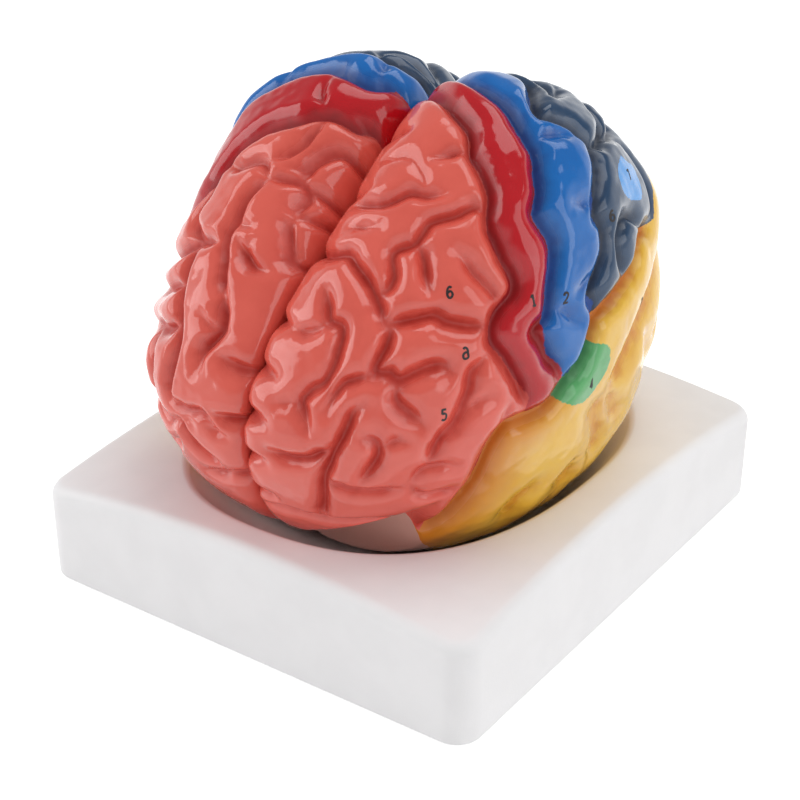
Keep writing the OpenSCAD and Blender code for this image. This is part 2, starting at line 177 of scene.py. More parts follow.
# Furrows as [relative depth, points], and the soft ones with a relative width as well. A point is
# [forward, up] in degrees from the middle of the outer side: [90, 0] is the frontal pole and
# [0, 90] the crown.
LEFT_FURROWS = [
    # in front of the red gyrus
    [1.0, [[3, 92], [8, 84], [12, 78], [15, 72], [17, 66], [21, 61], [22, 57], [24, 50], [26, 47], [28, 43],
        [28, 39], [28, 35], [27, 30], [28, 27], [31, 25], [33, 23], [34, 19], [33, 16], [31, 13],
        [28, 8], [25, 3], [24, 1]]],
    # between the red and the blue gyri
    [1.0, [[-5, 92], [-1, 84], [3, 77], [4, 73], [5, 68], [6, 64], [8, 59], [9, 55], [10, 51], [12, 48],
        [14, 44], [17, 41], [17, 39], [16, 35], [16, 32], [17, 29], [19, 25], [20, 22], [21, 19], [24, 17],
        [22, 13], [20, 9], [18, 7], [17, 4]]],
    # behind the blue gyrus
    [0.9, [[-14, 85], [-11, 70], [-8, 66], [-3, 63], [1, 60], [2, 57], [0, 55], [-3, 52], [-4, 49],
        [-5, 46], [-3, 41], [-1, 38], [2, 34], [3, 31], [2, 29], [2, 26], [3, 23], [5, 21], [8, 18],
        [7, 15], [7, 11], [9, 7], [12, 4]]],
    # the long furrow above the yellow temporal lobe
    [1.1, [[42, -38], [38, -31], [36, -26], [34, -19], [33, -16], [32, -10], [31, -6], [29, -2], [27, -1],
        [23, -1], [19, -1], [16, 1], [14, 3], [11, 4], [9, 7], [7, 11], [5, 12], [2, 12], [-2, 14], [-8, 16],
        [-13, 21], [-22, 22]]],
    # upper and middle frontal folds
    [0.7, [[29, 65], [24, 63], [21, 61]]],
    [0.8, [[52, 67], [47, 61], [43, 60], [39, 60], [36, 57], [33, 55]]],
    [0.4, [[36, 75], [33, 69], [34, 63], [36, 57]]],
    [0.8, [[27, 46], [29, 49], [33, 49], [39, 50], [42, 48], [45, 46], [49, 46], [51, 44], [52, 39],
        [54, 36], [57, 34]]],
    [0.8, [[44, 47], [44, 42], [45, 37], [45, 33]]],
    [0.9, [[70, 53], [66, 51], [61, 49], [60, 45], [59, 42], [58, 38], [57, 33], [56, 27]]],
    [0.6, [[57, 58], [54, 56], [51, 54]]],
    [0.9, [[56, 27], [53, 27], [49, 27], [45, 27], [43, 25], [39, 23], [34, 21]]],
    [0.9, [[56, 27], [55, 25], [56, 21], [58, 17], [58, 15], [55, 15], [53, 13], [50, 14], [47, 15],
        [44, 15], [42, 13]]],
    [0.8, [[53, 13], [53, 9], [50, 6], [46, 3]]],
    [0.8, [[58, 15], [62, 14], [65, 13], [67, 10], [68, 7]]],
    [0.8, [[69, 39], [69, 33], [69, 30], [66, 28], [66, 25], [67, 21], [68, 17], [70, 13], [73, 11],
        [75, 8], [74, 6], [72, 2]]],
    [0.6, [[79, 28], [75, 27], [71, 28], [69, 30]]],
    [0.5, [[81, 7], [75, 8]]],
    [0.7, [[37, 40], [36, 38], [35, 34], [33, 30], [31, 25]]],
    # lower frontal folds
    [0.9, [[60, 8], [62, 6], [63, 2], [65, -4], [66, -9], [67, -15], [66, -25], [65, -34]]],
    [0.8, [[65, -4], [68, -5], [71, -8], [76, -10], [82, -10]]],
    [0.7, [[67, -15], [63, -16], [60, -17], [56, -17], [52, -16], [49, -15]]],
    [0.8, [[59, 1], [56, 0], [55, -2], [55, -5], [56, -8], [58, -13]]],
    [0.6, [[55, -2], [52, 0], [48, 0]]],
    [0.5, [[78, -38], [72, -35], [65, -34], [58, -32], [50, -30]]],
    [0.8, [[35, 15], [38, 12], [38, 9], [39, 5], [40, 2], [42, 0], [43, -3], [44, -7]]],
    [0.6, [[39, 3], [37, 5], [35, 6], [33, 6]]],
    [0.6, [[47, -13], [45, -9], [41, -8], [38, -9]]],
    [0.6, [[47, -14], [44, -18], [40, -18], [37, -16]]],
    [0.5, [[28, 4], [29, 2], [30, -2]]],
    # notches in the blue gyrus
    [0.6, [[9, 53], [6, 53], [3, 51], [-1, 49]]],
    [0.7, [[2, 34], [5, 35], [8, 37]]],
    [0.5, [[20, 21], [17, 19], [15, 17], [12, 14]]],
    [0.6, [[6, 21], [9, 21], [12, 21]]],
    # slate parietal folds
    [0.8, [[-22, 73], [-17, 67], [-12, 62], [-9, 61]]],
    [0.6, [[-9, 61], [-14, 61], [-20, 63]]],
    [0.9, [[-5, 46], [-9, 45], [-13, 46], [-18, 48], [-20, 52], [-24, 57], [-30, 59], [-36, 58], [-42, 56]]],
    [0.7, [[-13, 46], [-19, 45], [-25, 46], [-31, 49]]],
    [0.7, [[-22, 43], [-25, 38], [-26, 33], [-25, 28], [-23, 23]]],
    [0.8, [[-3, 16], [-2, 21], [-3, 25], [-7, 28], [-11, 27], [-14, 24]]],
    # temporal folds
    [0.6, [[-38, 18], [-30, 14], [-22, 10], [-14, 6], [-8, 3], [-3, -1], [2, -5]], 1.5],
    [0.5, [[2, -5], [0, -9], [-2, -13], [-4, -18]], 1.5],
    [0.5, [[2, -5], [5, -8], [4, -13], [2, -19], [1, -26]], 1.5],
    [0.5, [[9, -22], [9, -27], [8, -33]], 1.5],
    [0.5, [[18, -22], [20, -26], [22, -31], [22, -37]], 1.5],
    [0.4, [[-12, 2], [-16, -4], [-19, -10]], 1.5],
]

RIGHT_FURROWS = [
    # in front of the red gyrus
    [1.0, [[23, 88], [22, 85], [25, 82], [25, 77], [26, 73], [28, 69], [28, 65], [28, 60], [29, 55],
        [30, 50], [32, 46], [34, 41], [34, 33], [33, 26], [35, 20], [33, 14], [30, 9], [26, 3]]],
    # between the red and the blue gyri
    [1.0, [[4, 88], [6, 85], [10, 82], [10, 77], [8, 72], [8, 67], [9, 61], [11, 55], [13, 50], [16, 46],
        [18, 41], [17, 34], [20, 28], [19, 22], [22, 16], [20, 10], [17, 4]]],
    # behind the blue gyrus
    [0.9, [[-12, 89], [-10, 85], [-5, 82], [-3, 78], [-1, 72], [0, 66], [1, 60], [3, 54], [5, 48],
        [6, 42], [4, 36], [6, 30], [5, 24], [8, 18], [9, 12], [13, 6]]],
    # the long furrow above the yellow temporal lobe
    [1.1, [[42, -38], [38, -31], [36, -24], [34, -17], [33, -10], [30, -3], [26, 1], [20, 2], [13, 5],
        [9, 10], [4, 13], [-2, 14], [-8, 18], [-14, 23], [-20, 24]]],
    # folds of the red and the blue gyri
    [0.6, [[15, 73], [19, 73], [24, 75]]],
    [0.7, [[20, 87], [22, 83], [23, 80]]],
    [0.6, [[7, 83], [2, 82], [-3, 80]]],
    [0.5, [[11, 55], [7, 56], [4, 57]]],
    [0.5, [[18, 38], [22, 37], [26, 38]]],
    # upper frontal folds
    [0.8, [[26, 76], [31, 73], [36, 70], [39, 66], [40, 62]]],
    [0.9, [[40, 94], [38, 86], [36, 82], [35, 79], [38, 75], [42, 71], [46, 68], [49, 67]]],
    [0.7, [[42, 71], [44, 68], [44, 65]]],
    [0.8, [[46, 59], [47, 62], [49, 67], [53, 66], [57, 62], [60, 60]]],
    [0.8, [[49, 67], [52, 70], [56, 73], [62, 80]]],
    [0.8, [[60, 60], [60, 63], [62, 67], [68, 74]]],
    [0.8, [[60, 60], [62, 57], [66, 54], [70, 51], [74, 49], [84, 54]]],
    [0.7, [[34, 48], [37, 51], [38, 55], [40, 59], [46, 59]]],
    # middle frontal folds
    [0.9, [[46, 59], [48, 54], [51, 50], [55, 46], [57, 42], [60, 39], [64, 36], [68, 32], [72, 29]]],
    [0.5, [[55, 46], [58, 47], [60, 49]]],
    [0.9, [[62, 43], [66, 42], [70, 41], [73, 42]]],
    [0.5, [[64, 46], [66, 42], [65, 39]]],
    [1.0, [[72, 29], [74, 26], [76, 23], [77, 20], [76, 16], [75, 13], [76, 9]]],
    [0.6, [[70, 21], [74, 20], [79, 21]]],
    [0.5, [[72, 25], [76, 26]]],
    [0.8, [[30, 50], [34, 45], [38, 41], [40, 36], [43, 33], [48, 33], [52, 34], [57, 38]]],
    [0.9, [[52, 34], [53, 30], [55, 25], [58, 21], [62, 16], [65, 12], [66, 7], [66, 1], [67, -4]]],
    [0.9, [[52, 34], [48, 28], [43, 22], [36, 17], [28, 14]]],
    [0.8, [[57, 22], [52, 19], [47, 15], [40, 12], [32, 9]]],
    [0.9, [[63, 14], [57, 10], [50, 8], [43, 4], [36, 2]]],
    # lower frontal folds
    [0.7, [[67, -4], [71, -5], [75, -5], [79, -4], [83, -7]]],
    [0.8, [[50, 8], [54, 3], [55, -3], [57, -9], [62, -12], [67, -12]]],
    [0.8, [[67, -12], [70, -11], [72, -15], [76, -20], [80, -24]]],
    [0.6, [[57, -9], [52, -9], [46, -11]]],
    [0.5, [[72, -8], [76, -9]]],
    [0.6, [[81, -8], [86, -11]]],
    [0.7, [[73, -29], [77, -29], [82, -28]]],
    [0.7, [[66, -18], [62, -22], [56, -22]]],
    [0.8, [[50, -12], [46, -16], [44, -22], [50, -28], [58, -28]]],
    # slate parietal folds
    [0.7, [[-3, 76], [-8, 75], [-13, 79], [-16, 85]]],
    [0.8, [[5, 48], [-2, 47], [-8, 50], [-14, 54], [-20, 56], [-28, 58], [-36, 57], [-42, 54]]],
    [0.7, [[-8, 50], [-8, 58], [-12, 64], [-18, 68], [-20, 75]]],
    [0.7, [[-12, 46], [-19, 42], [-24, 36], [-26, 29], [-20, 24]]],
    [0.8, [[-2, 14], [-3, 21], [-2, 28], [-5, 35], [-12, 37], [-16, 33]]],
    # temporal folds
    [0.9, [[-38, 20], [-30, 16], [-22, 14], [-14, 10], [-6, 4], [3, 0], [12, -4], [21, -8], [29, -14],
        [36, -23]]],
    [0.6, [[-6, 4], [-4, -2], [-6, -6]]],
    [0.8, [[6, -14], [12, -17], [18, -20], [23, -26], [23, -31]]],
]

# Notches along the fissure, where the folds roll over into it
LEFT_NOTCHES = [
    [0.8, [[26, 79], [28, 94]]],
    [0.8, [[48, 69], [56, 80]]],
    [0.9, [[65, 51], [77, 61]]],
    [0.9, [[80, 29], [93, 34]]],
    [0.8, [[83, 14], [95, 17]]],
    [0.9, [[84, 1], [98, 0]]],
    [0.8, [[83, -15], [96, -19]]],
    [0.8, [[78, -31], [90, -37]]],
]
RIGHT_NOTCHES = [
    [0.7, [[24, 84], [28, 94]]],
    [0.8, [[81, 14], [86, 13], [96, 12]]],
    [0.9, [[84, -3], [97, -4]]],
    [0.7, [[80, -27], [92, -32]]],
]

# Lobes that stand out beyond the smooth form: [[forward, up], height, radius in millimetres]
LEFT_SWELLS = [[[-38, 25], 3.5, 16], [[-26, 55], 1.5, 12]]
RIGHT_SWELLS = [[[9, 48], 2.8, 14], [[-38, 25], 3.5, 16]]

# Furrows of the rear and the underside, the same on both halves
REAR_FURROWS = [
    [0.9, [[-46, 77], [-44, 66], [-42, 56], [-37, 45], [-36, 36]]],
    [0.6, [[-19, 84], [-24, 76], [-26, 68], [-30, 59]]],
    [0.6, [[-34, 83], [-35, 74], [-33, 67]]],
    [0.8, [[-46, 38], [-52, 44], [-56, 52], [-58, 60], [-62, 65]]],
    [0.8, [[-38, 20], [-36, 28], [-43, 27], [-52, 24], [-60, 22], [-68, 25]]],
    [0.7, [[-56, 52], [-64, 46], [-70, 39], [-80, 37]]],
    [0.7, [[-60, 22], [-64, 13], [-72, 8], [-82, 10]]],
    [0.8, [[-22, -3], [-28, 2], [-38, 7], [-48, 5], [-56, 2], [-64, -4], [-76, -8]]],
    [0.7, [[-21, -14], [-30, -10], [-38, -6], [-44, -1], [-48, 5]]],
    [0.7, [[-30, -10], [-36, -18], [-46, -21], [-56, -20], [-66, -22]]],
    [1.0, [[-14, -29], [-26, -31], [-40, -34], [-54, -38], [-68, -46], [-76, -48]]],
    [0.5, [[-20, -40], [-34, -44], [-48, -50], [-60, -58]]],
    [0.5, [[-14, -48], [-28, -54], [-40, -62], [-48, -70]]],
    [0.7, [[34, -54], [22, -62], [8, -66]]],
]

# Edges of the painted fields that differ between the halves, from the crown down
LEFT_EDGES = {
    "red_front": [[4, 96], [6, 88], [9, 83], [12, 78], [15, 72], [17, 66], [19, 63], [22, 60], [22, 57],
        [24, 50], [26, 47], [28, 43], [29, 39], [28, 35], [28, 31], [29, 28], [31, 26], [33, 24], [34, 20],
        [34, 17], [31, 13], [28, 8], [24, 3], [24, 0]],
    "blue_front": [[-6, 96], [-1, 84], [3, 77], [4, 73], [5, 68], [6, 64], [8, 59], [9, 55], [10, 51],
        [12, 48], [14, 44], [17, 41], [17, 39], [16, 35], [16, 32], [18, 29], [19, 25], [20, 22], [21, 19],
        [22, 17], [21, 13], [20, 10], [17, 7], [16, 4]],
    "slate_front": [[-13, 96], [-11, 70], [-8, 66], [-3, 63], [1, 60], [2, 57], [0, 55], [-3, 52], [-4, 49],
        [-5, 46], [-3, 41], [-1, 38], [1, 35], [3, 31], [2, 29], [2, 26], [3, 23], [5, 21], [8, 18],
        [6, 15], [7, 12]],
}
RIGHT_EDGES = {
    "red_front": [[23, 96], [23, 88], [22, 85], [25, 82], [25, 77], [26, 73], [28, 69], [28, 65], [28, 60],
        [29, 55], [30, 50], [32, 46], [34, 41], [34, 33], [33, 26], [35, 20], [33, 14], [30, 9], [26, 3]],
    "blue_front": [[4, 96], [4, 88], [6, 85], [10, 82], [10, 77], [8, 72], [8, 67], [9, 61], [11, 55],
        [13, 50], [16, 46], [18, 41], [17, 34], [20, 28], [19, 22], [22, 16], [20, 10], [17, 4]],
    "slate_front": [[-13, 96], [-12, 89], [-10, 85], [-5, 82], [-3, 78], [-1, 72], [0, 66], [1, 60], [3, 54],
        [5, 48], [6, 42], [4, 36], [6, 30], [5, 24], [8, 18], [8, 12]],
}

# Edges that are the same on both halves, and outlines of the small patches
YELLOW_TOP = [[12, 12], [9, 13], [6, 13], [2, 13], [-2, 15], [-4, 16], [-8, 17], [-11, 19], [-13, 21],
    [-14, 23], [-22, 22], [-24, 22], [-27, 26], [-30, 30], [-33, 35], [-36, 42], [-42, 55], [-46, 77],
    [-48, 96]]
YELLOW_FRONT = [[20, 8], [24, 0], [27, -1], [29, -2], [31, -6], [32, -10], [33, -16], [34, -19], [36, -26],
    [38, -31], [40, -35], [46, -60], [46, -96]]
# The under field beneath the frontal lobe is taupe: partly the casting's bare underside, partly painted
# shade standing in for the shaded recess wall of the stand seen there.
UNDER = [[20, -96], [24, -72], [28, -60], [32, -51], [36, -45], [40, -40], [42, -41], [44, -46],
    [46, -53], [49, -60], [53, -67], [58, -73], [62, -80], [62, -96]]
BEHIND = [[-96, -96], [-96, 96]]
GREEN_PATCH = [[16, 2], [14, 0], [11, -2], [7, -3], [4, -2], [1, 0], [0, 2], [1, 5], [4, 7], [6, 9],
    [10, 10], [14, 6]]
LIGHT_PATCH = [[-18, 40], [-13, 38], [-11, 35], [-11, 32], [-15, 30], [-20, 29], [-23, 33], [-23, 36],
    [-20, 38]]

# Degrees by which a field runs on under the one in front of it, and the fields whose edges don't lean
OVERLAP = 3
UPRIGHT_FIELDS = ("green", "light", "under")

# Printed region numbers on the left half as [digit, [forward, up]]. Their strokes stand out by
# INK_LIFT and reach INK_ROOT into the paint, on the surface found from RAY_START outside it.
NUMBERS = [
    ["6", [41, 31.5]], ["8", [39, 17]], ["5", [42, 5]], ["1", [23, 24]], ["2", [14, 21]], ["4", [5, 0]],
    ["6", [-4, 29]], ["7", [-17.5, 35]], ["3", [-13, 8]],
]
NUMBER_H = 2.9
NUMBER_W = 0.62 * NUMBER_H
STROKE_W = 0.6
INK_LIFT = 0.06
INK_ROOT = 0.2
RAY_START = 10
STRAIGHT_STEPS = 9
# Strokes of the digits in a box from 0 to 1, where a stroke of more than four points is curved
DIGITS = {
    "1": [[[0.2, 0.75], [0.5, 1], [0.5, 0]], [[0.2, 0], [0.8, 0]]],
    "2": [[[0.12, 0.76], [0.3, 0.96], [0.6, 1], [0.85, 0.8], [0.7, 0.52], [0.1, 0]], [[0.1, 0], [0.9, 0]]],
    "3": [[[0.15, 0.88], [0.45, 1], [0.8, 0.85], [0.7, 0.6], [0.4, 0.54]],
        [[0.4, 0.54], [0.8, 0.42], [0.85, 0.15], [0.5, 0], [0.1, 0.12]]],
    "4": [[[0.9, 0.28], [0.05, 0.28], [0.65, 1], [0.65, 0]]],
    "5": [[[0.85, 1], [0.25, 1], [0.2, 0.58]],
        [[0.2, 0.58], [0.5, 0.64], [0.85, 0.48], [0.8, 0.12], [0.45, 0], [0.1, 0.1]]],
    "6": [[[0.82, 0.9], [0.55, 1], [0.25, 0.8], [0.12, 0.4], [0.25, 0.08], [0.55, 0], [0.85, 0.18],
        [0.85, 0.44], [0.55, 0.6], [0.16, 0.42]]],
    "7": [[[0.1, 1], [0.9, 1], [0.4, 0]]],
    "8": [[[0.2, 0.88], [0.5, 1], [0.8, 0.86], [0.82, 0.56], [0.45, 0.56], [0.12, 0.36], [0.16, 0.06],
        [0.5, 0], [0.84, 0.1], [0.86, 0.36], [0.8, 0.6]]],
}


def field_outlines(edges):
    """Closed outlines of the painted fields. Each one runs on under the field painted after it."""
    red, blue, slate = (edges[n] for n in ("red_front", "blue_front", "slate_front"))

    def further(line):
        return [[forward + OVERLAP, up] for forward, up in line]

    return {
        "red": red + [[22, -1], [18, -1], [15, 2]] + blue[::-1],
        "blue": further(blue) + [[15, 3], [12, 3], [10, 5], [8, 7]] + slate[::-1],
        "slate": further(slate) + YELLOW_TOP,
        "yellow": [[-16, 96], [-2, 60], [8, 30]] + YELLOW_FRONT + BEHIND,
        "green": GREEN_PATCH,
        "light": LIGHT_PATCH,
        "under": UNDER,
    }


def heading(p):
    """Unit vectors [outward, forward, up] of points in degrees."""
    t = np.radians(np.linalg.norm(p, axis=1))
    c = p / np.maximum(1e-9, np.linalg.norm(p, axis=1))[:, None]
    return np.stack([np.cos(t), np.sin(t) * c[:, 0], np.sin(t) * c[:, 1]], 1)


def envelope(p):
    """Smooth outer form of a half without furrows, measured from the middle of the brain."""
    t = np.radians(np.minimum(90, np.linalg.norm(p, axis=1)))
    c = p / np.maximum(1e-9, np.linalg.norm(p, axis=1))[:, None]
    fore, aft = np.maximum(0, c[:, 0]), np.maximum(0, -c[:, 0])
    top, under = np.maximum(0, c[:, 1]), np.maximum(0, -c[:, 1])
    a = np.maximum(0, np.cos(t)) ** SHOULDER
    b = np.sin(t) ** SHOULDER
    n = UPPER_POWER + (LOWER_POWER - UPPER_POWER) * np.minimum(1, 2 * under)
    r = (a ** n + b ** n) ** (-1 / n)
    level = 1 + fore * (FRONT_UNDER_RISE * under - FRONT_TOP_DROP * top)
    level += REAR_LEVEL_CHANGE * aft * (under - top)
    y = -BRAIN_L / 2 * r * b * c[:, 0] * level
    z = np.where(c[:, 1] > 0, BRAIN_UP, BRAIN_LOW) * r * b * c[:, 1] * level
    x = BRAIN_W / 2 * r * a * (1 - np.where(y < 0, FRONT_NARROWING, REAR_NARROWING) * (2 * y / BRAIN_L) ** 2)
    sink = FRONT_SINK * fore ** 2 + REAR_SINK * aft ** 2 + TOP_SINK * top ** 2
    sink += FRONT_TOP_SINK * (fore * top) ** 2
    near = np.maximum(0, 1 - x / FISSURE_W) ** 2
    k = 1 - sink * near / np.maximum(1, np.hypot(y, z))
    return np.stack([x, y * k, z * k], 1)


def smooth_line(points, step=1.5):
    """Points along a smooth curve through the given ones."""
    p = np.array(points, float)
    run = [2 * p[0] - p[1], *p, 2 * p[-1] - p[-2]]
    line = []
    for a, b, c, d in zip(run, run[1:], run[2:], run[3:]):
        count = max(1, math.ceil(np.linalg.norm(c - b) / step))
        for t in np.arange(count) / count:
            bend = (2 * a - 5 * b + 4 * c - d) * t ** 2 + (3 * b - a - 3 * c + d) * t ** 3
            line.append((2 * b + (c - a) * t + bend) / 2)
    return np.array(line + [p[-1]])


def straight_line(points):
    """Points along straight strokes between the given ones."""
    line = []
    for a, b in zip(points, points[1:]):
        for t in np.arange(STRAIGHT_STEPS) / STRAIGHT_STEPS:
            line.append(np.add(a, np.subtract(b, a) * t))
    return np.array(line + [points[-1]])


def line_gap(spots, line):
    """Millimetres from unit vectors to a line of unit vectors, and along it to its nearer end."""
    middle = line.sum(0) / np.linalg.norm(line.sum(0))
    gap = np.full(len(spots), FAR)
    to_end = np.zeros(len(spots))
    spread = np.arccos(np.clip((line @ middle).min(), -1, 1)) + WIDEST_SHARE * FOLD_HALF_WIDTH / MEAN_R
    near = np.flatnonzero(spots @ middle > math.cos(min(math.pi, spread)))
    steps = np.linalg.norm(np.diff(line, axis=0), axis=1) * MEAN_R
    starts = np.concatenate([[0], np.cumsum(steps)])
    best, where, d = gap[near], to_end[near], spots[near]
    for k, (a, b) in enumerate(zip(line, line[1:])):
        ab = b - a
        t = np.clip((d - a) @ ab / (ab @ ab), 0, 1)
        g = np.linalg.norm(d - a - t[:, None] * ab, axis=1) * MEAN_R
        closer = g < best
        best[closer] = g[closer]
        run = starts[k] + t[closer] * steps[k]
        where[closer] = np.minimum(run, starts[-1] - run)
    gap[near], to_end[near] = best, where
    return gap, to_end


def fold_depth(spots, furrows):
    """How far in millimetres the furrows lie under the smooth form."""
    total = np.zeros(len(spots))
    for rel, points, *soft in furrows:
        line = heading(smooth_line(points))
        gap, to_end = line_gap(spots, line)
        width = soft[0] if soft else 1
        half = FOLD_HALF_WIDTH * (FIXED_WIDTH + (1 - FIXED_WIDTH) * min(1, rel)) * width
        blunt = BLUNT * (width - 1)
        gap = np.hypot(gap, blunt) - blunt
        s = np.clip((gap - VALLEY_FLOOR) / half, 0, 1)
        taper = np.minimum(1, END_DEPTH + to_end / END_RUN)
        total += (rel * FOLD_DEPTH * taper * (1 - s) ** FOLD_POWER) ** BLEND_POWER
    return total ** (1 / BLEND_POWER)


def outline_gap(p, outline):
    """Signed distance in degrees from points to a closed outline, above 0 inside it."""
    line = smooth_line(outline + outline[:1], 2)
    gap = np.full(len(p), FAR)
    inside = np.zeros(len(p), bool)
    for a, b in zip(line, line[1:]):
        ab = b - a
        t = np.clip((p - a) @ ab / max(1e-9, ab @ ab), 0, 1)
        gap = np.minimum(gap, np.linalg.norm(p - a - t[:, None] * ab, axis=1))
        if a[1] != b[1]:
            crosses = (p[:, 1] < a[1]) != (p[:, 1] < b[1])
            inside ^= crosses & (p[:, 0] < a[0] + (p[:, 1] - a[1]) / (b[1] - a[1]) * ab[0])
    return np.where(inside, gap, -gap)


def ring_grid(rings):
    """Points of a five sector grid over the disc of 90 degrees, its triangles, and its first rim point."""
    spots = [np.zeros((1, 2))]
    for k in range(1, rings + 1):
        turn = 2 * np.pi * np.arange(5 * k) / (5 * k)
        spots.append(90 * k / rings * np.stack([np.cos(turn), np.sin(turn)], 1))
    first = [0] + [1 + 5 * k * (k - 1) // 2 for k in range(1, rings + 1)]
    triangles = []
    for k in range(rings):
        j = np.arange(k + 1)
        for s in range(5):
            a = first[k] + (s * k + j) % max(1, 5 * k)
            b = first[k + 1] + s * (k + 1) + j
            c = first[k + 1] + (s * (k + 1) + j + 1) % (5 * (k + 1))
            triangles.append(np.stack([a, b, c], 1))
            if k:
                d = first[k] + (s * k + j + 1) % (5 * k)
                triangles.append(np.stack([a, c, d], 1)[:k])
    return np.concatenate(spots), np.concatenate(triangles), first[rings]


def relaxed(values, triangles, rounds):
    """Values evened out between the neighbours on a grid."""
    pairs = np.concatenate([triangles[:, [0, 1]], triangles[:, [1, 2]], triangles[:, [2, 0]]])
    for _ in range(rounds):
        total, count = np.zeros(len(values)), np.zeros(len(values))
        for a, b in (pairs.T, pairs.T[::-1]):
            np.add.at(total, a, values[b])
            np.add.at(count, a, 1)
        values = (values + total / count) / 2
    return values


def uneven(points, size, seed):
    """Smooth unevenness from -1 to 1 over spots of about that size in millimetres."""
    return np.array([noise.noise(Vector(p) / size + Vector((seed, 0, 0))) for p in points])


def brow(y):
    """From 0 under the temporal lobes to 1 under the frontal lobe."""
    s = np.clip((-y / BRAIN_L - BROW_FROM) / (BROW_TO - BROW_FROM), 0, 1)
    return s * s * (3 - 2 * s)


def hemisphere(name, side, furrows, edges, swells):
    """One half of the brain as a closed mesh that stands for its CAD node."""
    grid, triangles, rim = ring_grid(RINGS)
    spots = heading(grid)
    form = envelope(grid)
    drawn = grid + np.outer(np.clip(LEAN_SLOPE * (LEAN_FROM - grid[:, 0]), 0, LEAN), [1, 0])
    valley = relaxed(fold_depth(heading(drawn), furrows), triangles, 2)
    lip = np.clip(1 - form[:, 0] / LIP_WIDTH, 0, 1)
    crown = np.clip(spots[:, 2], 0, 1)
    drop = SKIN_INSET + valley + (LIP_DEPTH + CROWN_LIP_DEPTH * crown) * (1 - np.sqrt(1 - lip ** 2))
    open_share = 1 - np.clip(valley / WAVE_FADE, 0, 1)
    drop += WAVE_DEPTH * (1 + uneven(form, WAVE_SIZE, WAVE_SEED + side)) * open_share
    drop += RIPPLE_DEPTH * uneven(form, RIPPLE_SIZE, RIPPLE_SEED)
    for middle, height, radius in swells:
        gap = np.linalg.norm(spots - heading(np.array([middle], float)), axis=1) * MEAN_R
        drop -= height * np.exp(-(gap / radius) ** 2)
    scale = 1 - drop / np.linalg.norm(form, axis=1)
    place = form * scale[:, None]
    foot = SEAT_Z + SEAT_CLEAR
    raised = brow(place[:, 1])
    level = foot + raised * (BROW_RISE + BROW_SLOPE * place[:, 0])
    z = AXIS_Z + place[:, 2]
    z = (z + level + np.hypot(z - level, BROW_BEND * raised)) / 2
    place[:, 2] = np.maximum(foot, z)
    place[:, 0] = side * (place[:, 0] + HALF_GAP / 2)
    faces = [list(map(int, f)) for f in (triangles if side > 0 else triangles[:, ::-1])]
    flat = list(range(rim, len(grid)))
    faces.append(flat[::-1] if side > 0 else flat)
    piece = new_mesh(name, place * MM, faces)
    gaps = {}
    for field, outline in field_outlines(edges).items():
        gaps[field] = outline_gap(grid if field in UPRIGHT_FIELDS else drawn, outline)
    store(piece, "paint_front", np.stack([gaps["red"], gaps["blue"], gaps["slate"]], 1))
    store(piece, "paint_rear", np.stack([gaps["yellow"], gaps["green"], gaps["light"]], 1))
    store(piece, "paint_under", gaps["under"])
    store(piece, "valley", valley / FOLD_DEPTH)
    shade_smooth(piece, len(triangles))
    return piece


def store(piece, name, values):
    """Keeps one value or one vector a point on the mesh, for its material to read."""
    kind = "FLOAT" if values.ndim == 1 else "FLOAT_VECTOR"
    layer = piece.data.attributes.new(name, kind, "POINT")
    layer.data.foreach_set("value" if values.ndim == 1 else "vector", values.astype(np.float32).ravel())


def new_mesh(name, points, faces):
    mesh = bpy.data.meshes.new(name)
    mesh.from_pydata([tuple(map(float, p)) for p in points], [], faces)
    mesh.validate()
    piece = bpy.data.objects.new(name, mesh)
    bpy.context.scene.collection.objects.link(piece)
    return piece


def shade_smooth(piece, smooth_faces):
    """The first faces are smooth and the ones after them flat."""
    mesh = piece.data
    smooth = np.arange(len(mesh.polygons)) < smooth_faces
    mesh.polygons.foreach_set("use_smooth", smooth)
    mesh.update()


def stand_spots():
    """Points round the stand on the rectangle through the corner centres, and the way each one faces."""
    half = np.array([STAND_W / 2 - CORNER_R, STAND_L / 2 - CORNER_R])
    corners = half * np.array([[1, 1], [-1, 1], [-1, -1], [1, -1], [1, 1]])
    places, turns = [], []
    for q in range(4):
        for turn in np.linspace(0, 90, CORNER_STEPS + 1):
            places.append(corners[q])
            turns.append(90 * q + turn)
        for share in np.arange(1, SIDE_STEPS) / SIDE_STEPS:
            places.append(corners[q] + (corners[q + 1] - corners[q]) * share)
            turns.append(90 * q + 90)
    facing = np.radians(turns)
    return np.array(places), np.stack([np.cos(facing), np.sin(facing)], 1)


def bowl_share(deep):
    """Share of the brain's full width and length at a depth below the top of the stand."""
    low = min(DEEPEST_SHARE, (AXIS_Z - STAND_H - STAND_ARCH + deep) / BRAIN_LOW)
    return (1 - low ** LOWER_POWER) ** (1 / LOWER_POWER)


